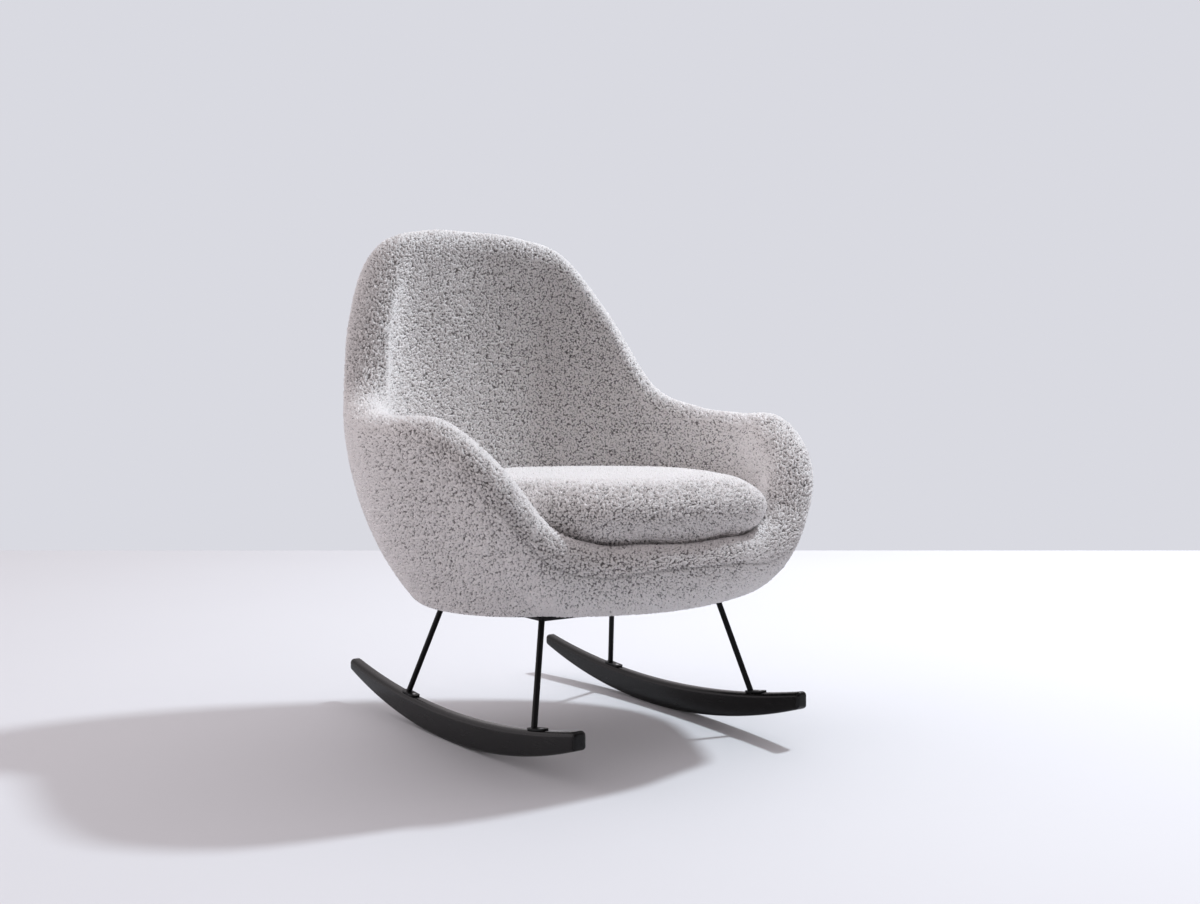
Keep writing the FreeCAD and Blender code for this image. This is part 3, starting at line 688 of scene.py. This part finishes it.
def lay_out(piece, smooth):
    """Map of the cushion: its upper half and its lower half side by side, each spread flat."""
    mesh = piece.data
    corner = np.zeros(len(mesh.loops), np.int32)
    mesh.loops.foreach_get("vertex_index", corner)
    count = np.zeros(len(mesh.polygons), np.int32)
    mesh.polygons.foreach_get("loop_total", count)
    face = np.repeat(np.arange(len(count)), count)
    middle_z = np.bincount(face, smooth[corner, 2]) / count
    up = (middle_z > DECK_Z + EDGE_HEIGHT)[face]
    flat = smooth - np.array([0, TUB_Y, 0])
    r = np.linalg.norm(flat[:, :2], axis=1)
    reach = np.maximum(0, 0.055 - np.abs(smooth[:, 2] - (DECK_Z + EDGE_HEIGHT)))
    out = (r + 1.2 * reach) / np.maximum(r, 1e-9)
    uv = flat[corner, :2] * out[corner, None]
    size = np.abs(uv).max()
    uv = 0.25 + 0.245 * uv / size
    uv[:, 0] += np.where(up, 0, 0.5)
    layer = mesh.uv_layers.new(name="OFBake")
    layer.uv.foreach_set("vector", uv.astype(np.float32).ravel())


cushion_piece = cushion()
wear(cushion_piece, BOUCLE)
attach(cushion_piece, "seat_cushion")
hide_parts("cushion_cover", "cushion_foam")


# The zip at the back of the cushion, in degrees to each side of its middle and in metres: the tape's
# section from its lower to its upper edge, and the corners of one tooth
ZIP_REACH = 30
TEETH_REACH = 29
TEETH = 116
TAPE_UP = np.array([-0.0060, -0.0045, -0.0022, -0.0014, -0.0006, 0.0006, 0.0014, 0.0022, 0.0045, 0.0060])
TAPE_OUT = np.array([-0.0010, 0.0002, 0.0003, 0.0010, 0.0014, 0.0014, 0.0010, 0.0003, 0.0002, -0.0010])
TOOTH_BED = 0.0012
TOOTH_STAGGER = 0.0004
TOOTH_CORNERS = np.array([(-0.11, -0.0013), (0.11, -0.0013), (0.11, 0.0013), (-0.11, 0.0013)])
TOOTH_RINGS = ((0.0, 1.0), (0.0009, 0.7))
TOOTH_FACES = np.array([(4, 5, 6, 7), (0, 1, 5, 4), (1, 2, 6, 5), (2, 3, 7, 6), (3, 0, 4, 7)])


def zip_tooth(angle, r, z):
    """One tooth, a block that narrows outwards."""
    rings = []
    for out, share in TOOTH_RINGS:
        corners = TOOTH_CORNERS * share
        rings.append(at(angle + corners[:, 0], np.full(len(corners), r + out), z + corners[:, 1]))
    return np.concatenate(rings)


def zip_bed(angles, z):
    """Distance of the cushion's side from the axis along the zip, smoothed over the loops."""
    surface = BVHTree.FromObject(cushion_piece, bpy.context.evaluated_depsgraph_get())

    def out_at(angle, height):
        way = Vector((-math.sin(math.radians(angle)), math.cos(math.radians(angle)), 0))
        axis = Vector((0, TUB_Y, height))
        hit = surface.ray_cast(axis + way * 0.45, -way)[0]
        return (hit - axis).length if hit is not None else SEAT_R.min()

    bed = np.array([max(out_at(a, z + dz) for dz in (-0.004, 0.0, 0.004)) for a in angles])
    return np.convolve(np.pad(bed, 4, mode="edge"), np.ones(9) / 9, mode="valid")


def zipper():
    low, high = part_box("cushion_zip")
    middle_z = (low.z + high.z) / 2
    angles = np.linspace(-ZIP_REACH, ZIP_REACH, 121)
    bed = zip_bed(angles, middle_z)
    shape = (len(TAPE_UP), len(angles))
    heights = middle_z + np.broadcast_to(TAPE_UP[:, None], shape)
    tape = at(np.broadcast_to(angles, shape), bed[None, :] + TAPE_OUT[:, None], heights)
    points = [tape.reshape(-1, 3)]
    faces = [grid_faces(*shape, False)]
    total = tape.shape[0] * tape.shape[1]
    for index, angle in enumerate(np.linspace(-TEETH_REACH, TEETH_REACH, TEETH)):
        stagger = TOOTH_STAGGER if index % 2 else -TOOTH_STAGGER
        tooth = zip_tooth(angle, np.interp(angle, angles, bed) + TOOTH_BED, middle_z + stagger)
        points.append(tooth)
        faces.append(TOOTH_FACES + total)
        total += len(tooth)
    return mesh_from("cushion_zipper", np.concatenate(points), np.concatenate(faces), smooth=False)


zip_piece = zipper()
wear(zip_piece, TAPE)
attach(zip_piece, "seat_cushion")
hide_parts("cushion_zip")


# The lining stapled under the seat board
LINING_DROP = 0.0006
LINING_WAVE = 0.00025


def lining_edge(angle):
    return around(BASE_R, angle) - LINER_INSET


def lining():
    """Flat cloth with a faint slackness between its staples."""
    rings, columns = 36, 200
    grid = disc(lining_edge, BASE_Z - LINING_DROP, rings, columns)
    x, y = grid[..., 0], grid[..., 1]
    grid[..., 2] += LINING_WAVE * np.sin(x * 95 + 1.3) * np.sin(y * 80 + 0.4)
    return mesh_from("under_lining", grid.reshape(-1, 3), grid_faces(rings, columns, True)[:, ::-1])


lining_piece = lining()
wear(lining_piece, LINING)
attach(lining_piece, "chair")
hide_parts("lining_cloth")
half_degrees = np.arange(720) / 2
lining_area = float(np.sum(lining_edge(half_degrees) ** 2) / 2 * math.radians(0.5))


# The rockers, each between two arcs, with a full rounding along the wood's upper edges
ROCKER_X = 0.224
ROCKER_HALF = 0.012
ROCKER_ARC = 1.172
ROCKER_TOUCH_Y = 0.004
ROCKER_Y = np.array([-0.378, 0.0, 0.378])
ROCKER_DEPTH = np.array([0.029, 0.048, 0.020])
UPPER_ROUND = 0.0085
LOWER_ROUND = 0.0045
NOSE_ROUND = 0.0065
TAIL_ROUND = 0.0085
LEAST_ROUND = 0.0006
CORNER_POINTS = 9
END_POINTS = 8
BORE_R = 0.0066
BORE_LENGTH = 0.020
SHARP_ANGLE = 40


def rolling_arc(y):
    """Height of the rocker's lower edge above the floor."""
    return ROCKER_ARC - np.sqrt(ROCKER_ARC ** 2 - (y - ROCKER_TOUCH_Y) ** 2)


def upper_arc(y):
    """Height of its upper edge: a circle through the front, middle and rear."""
    z = rolling_arc(ROCKER_Y) + ROCKER_DEPTH
    a, b, c = np.linalg.solve(np.stack([ROCKER_Y, z, np.ones(3)], 1), -(ROCKER_Y ** 2 + z ** 2))
    radius = math.sqrt(a * a / 4 + b * b / 4 - c)
    return -b / 2 - np.sqrt(radius ** 2 - (y + a / 2) ** 2)


def rocker_section(inset):
    """Rounded outline of a rocker, drawn in by an inset: how far each point lies across from the middle
    and up from the upper or lower edge, and which of the two edges that is."""
    across, up, upper = [], [], []
    for side, is_upper, start in ((1, False, -90), (1, True, 0), (-1, True, 90), (-1, False, 180)):
        radius = max((UPPER_ROUND if is_upper else LOWER_ROUND) - inset, LEAST_ROUND)
        turn = np.radians(np.linspace(start, start + 90, CORNER_POINTS))
        across.append(side * (ROCKER_HALF - inset - radius) + radius * np.cos(turn))
        level = radius * np.sin(turn)
        up.append(level - radius - inset if is_upper else level + radius + inset)
        upper.append(np.full(CORNER_POINTS, is_upper))
    return np.concatenate(across), np.concatenate(up), np.concatenate(upper)


def rocker(name, side):
    """One rocker, with a rounded nose and tail and its holes."""
    turn = np.linspace(0, math.pi / 2, END_POINTS)
    front, rear = ROCKER_Y[0], ROCKER_Y[-1]
    places = np.concatenate([
        front + NOSE_ROUND * (1 - np.cos(turn)),
        np.linspace(front + NOSE_ROUND, rear - TAIL_ROUND, 130)[1:-1],
        rear - TAIL_ROUND * (1 - np.cos(turn[::-1])),
    ])
    insets = np.zeros(len(places))
    insets[:END_POINTS] = NOSE_ROUND * (1 - np.sin(turn))
    insets[-END_POINTS:] = TAIL_ROUND * (1 - np.sin(turn[::-1]))
    rings = []
    for y, inset in zip(places, insets):
        across, up, upper = rocker_section(inset)
        z = np.where(upper, upper_arc(y), rolling_arc(y)) + up
        rings.append(np.stack([side * ROCKER_X + across, np.full(len(z), y), z], -1))
    grid = np.stack(rings)
    piece = mesh_from(name, grid.reshape(-1, 3), grid_faces(len(grid), grid.shape[1], True))
    close_ends(piece)
    drill(piece, side)
    return piece


def drill(piece, side):
    """Sinks a round hole under each plug."""
    plugs = coordinates(NODES["rocker_plugs"])
    cutter = bmesh.new()
    for end in (-1, 1):
        mine = plugs[(plugs[:, 0] * side > 0) & (plugs[:, 1] * end > 0)]
        middle = Vector((mine.min(0) + mine.max(0)) / 2)
        down = Vector((0, middle.y - ROCKER_TOUCH_Y, middle.z - ROCKER_ARC)).normalized()
        turn = down.to_track_quat("Z", "Y").to_matrix().to_4x4()
        turn.translation = middle + down * (BORE_LENGTH / 2)
        size = {"radius1": BORE_R, "radius2": BORE_R, "depth": BORE_LENGTH}
        bmesh.ops.create_cone(cutter, cap_ends=True, segments=48, matrix=turn, **size)
    mesh = bpy.data.meshes.new("bores")
    cutter.to_mesh(mesh)
    cutter.free()
    bores = bpy.data.objects.new("bores", mesh)
    bpy.context.scene.collection.objects.link(bores)
    cut = piece.modifiers.new("bores", "BOOLEAN")
    cut.operation = "DIFFERENCE"
    cut.solver = "EXACT"
    cut.object = bores
    applied(piece)
    bpy.data.objects.remove(bores)
    bpy.data.meshes.remove(mesh)
    piece.data.shade_smooth()
    sharp = piece.modifiers.new("sharp", "EDGE_SPLIT")
    sharp.split_angle = math.radians(SHARP_ANGLE)
    applied(piece)


for side_name, side in (("left", 1), ("right", -1)):
    piece = rocker(f"rocker_wood_{side_name}", side)
    wear(piece, LACQUER)
    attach(piece, "chair")
    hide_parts(f"rocker_{side_name}")


# Camera, floor, backdrop and light
EYE = Vector((-1.3220, -1.9506, 0.5765))
LOOK = Vector((0.58403, 0.81073, -0.04013)).normalized()
AHEAD = Vector((LOOK.x, LOOK.y, 0)).normalized()
ASIDE = Vector((AHEAD.y, -AHEAD.x, 0))
LENS = 39.868
SENSOR = 36.0
FLOOR_START = 0.9
FLOOR_END = 5.03
FLOOR_HALF = 3.2
FLOOR_LOW = (0.65, 0.65, 0.672)
FLOOR_HIGH = (0.67, 0.67, 0.692)
BACKDROP = (0.695, 0.70, 0.755)
KEY_PLACE = (2.45, -0.10, 3.66)
KEY_POWER = 570.0
KEY_SIZE = 0.17
KEY_COLOUR = (0.85, 0.935, 1.0)
SOFT_COLOUR = (1.0, 0.94, 0.97)
ROOM_LIGHT = 0.01
UP = Vector((0, 0, 1))
# Each soft light: how far it lies ahead of the camera, to its right and up, how tight it is, its strength
SOFT_LIGHTS = (
    (0.0, 0.0, 1.0, 0.30, 0.46),
    (0.0, -1.0, 0.35, 0.0, 0.31),
    (-0.25, -1.0, 0.04, 0.60, 1.16),
    (0.0, 1.0, 0.35, 0.0, 0.33),
    (1.0, 0.0, 0.45, 0.0, 0.66),
)


def floor():
    corners = []
    for along, across in ((FLOOR_START, -1), (FLOOR_START, 1), (FLOOR_END, 1), (FLOOR_END, -1)):
        place = Vector((EYE.x, EYE.y, 0)) + AHEAD * along + ASIDE * (across * FLOOR_HALF)
        corners.append(tuple(place))
    made = mesh_from("floor", np.array(corners), np.array([(0, 1, 2, 3)]), smooth=False)
    material, tree, shader = finish("pale_floor", roughness=0.6, specular_ior_level=0.2)
    mottle = noise(tree, own_place(tree), 1.2, 2.0).outputs["Fac"]
    colour = blend_colours(tree, mottle, FLOOR_LOW, FLOOR_HIGH)
    join(tree, colour, shader.inputs["Base Color"])
    wear(made, material)


def key_light():
    """Lamp above and beside the chair's left arm, large enough for a soft edge to its shadow."""
    light = bpy.data.lights.new("key", "POINT")
    light.energy = KEY_POWER
    light.shadow_soft_size = KEY_SIZE
    light.color = KEY_COLOUR
    made = bpy.data.objects.new("key", light)
    bpy.context.scene.collection.objects.link(made)
    made.location = KEY_PLACE


def studio():
    """Broad soft lights all round, each with its own strength; the camera sees a plain backdrop."""
    world = bpy.data.worlds.new("studio")
    bpy.context.scene.world = world
    world.use_nodes = True
    tree = world.node_tree
    way = add(tree, "ShaderNodeTexCoord").outputs["Generated"]
    total = None
    for ahead, aside, up, tight, strength in SOFT_LIGHTS:
        facing = add(tree, "ShaderNodeVectorMath", operation="DOT_PRODUCT")
        join(tree, way, facing.inputs[0])
        facing.inputs[1].default_value = (ahead * AHEAD + aside * ASIDE + up * UP).normalized()
        glow = remap(tree, facing.outputs["Value"], tight, 1.0, 0.0, strength)
        total = glow if total is None else number(tree, "ADD", total, glow)
    light = tree.nodes["Background"]
    light.inputs["Color"].default_value = (*SOFT_COLOUR, 1.0)
    join(tree, number(tree, "ADD", total, ROOM_LIGHT), light.inputs["Strength"])
    seen = add(tree, "ShaderNodeBackground")
    seen.inputs["Color"].default_value = (*BACKDROP, 1.0)
    mix = add(tree, "ShaderNodeMixShader")
    join(tree, add(tree, "ShaderNodeLightPath").outputs["Is Camera Ray"], mix.inputs[0])
    join(tree, light.outputs[0], mix.inputs[1])
    join(tree, seen.outputs[0], mix.inputs[2])
    join(tree, mix.outputs[0], tree.nodes["World Output"].inputs["Surface"])


def view():
    """Camera at the photograph's place."""
    camera = bpy.data.objects.new("camera", bpy.data.cameras.new("camera"))
    bpy.context.scene.collection.objects.link(camera)
    camera.data.sensor_width = SENSOR
    camera.data.lens = LENS
    camera.location = EYE
    camera.rotation_euler = LOOK.to_track_quat("-Z", "Y").to_euler()
    bpy.context.scene.camera = camera


floor()
key_light()
studio()
view()
bpy.context.scene.view_settings.view_transform = "Standard"
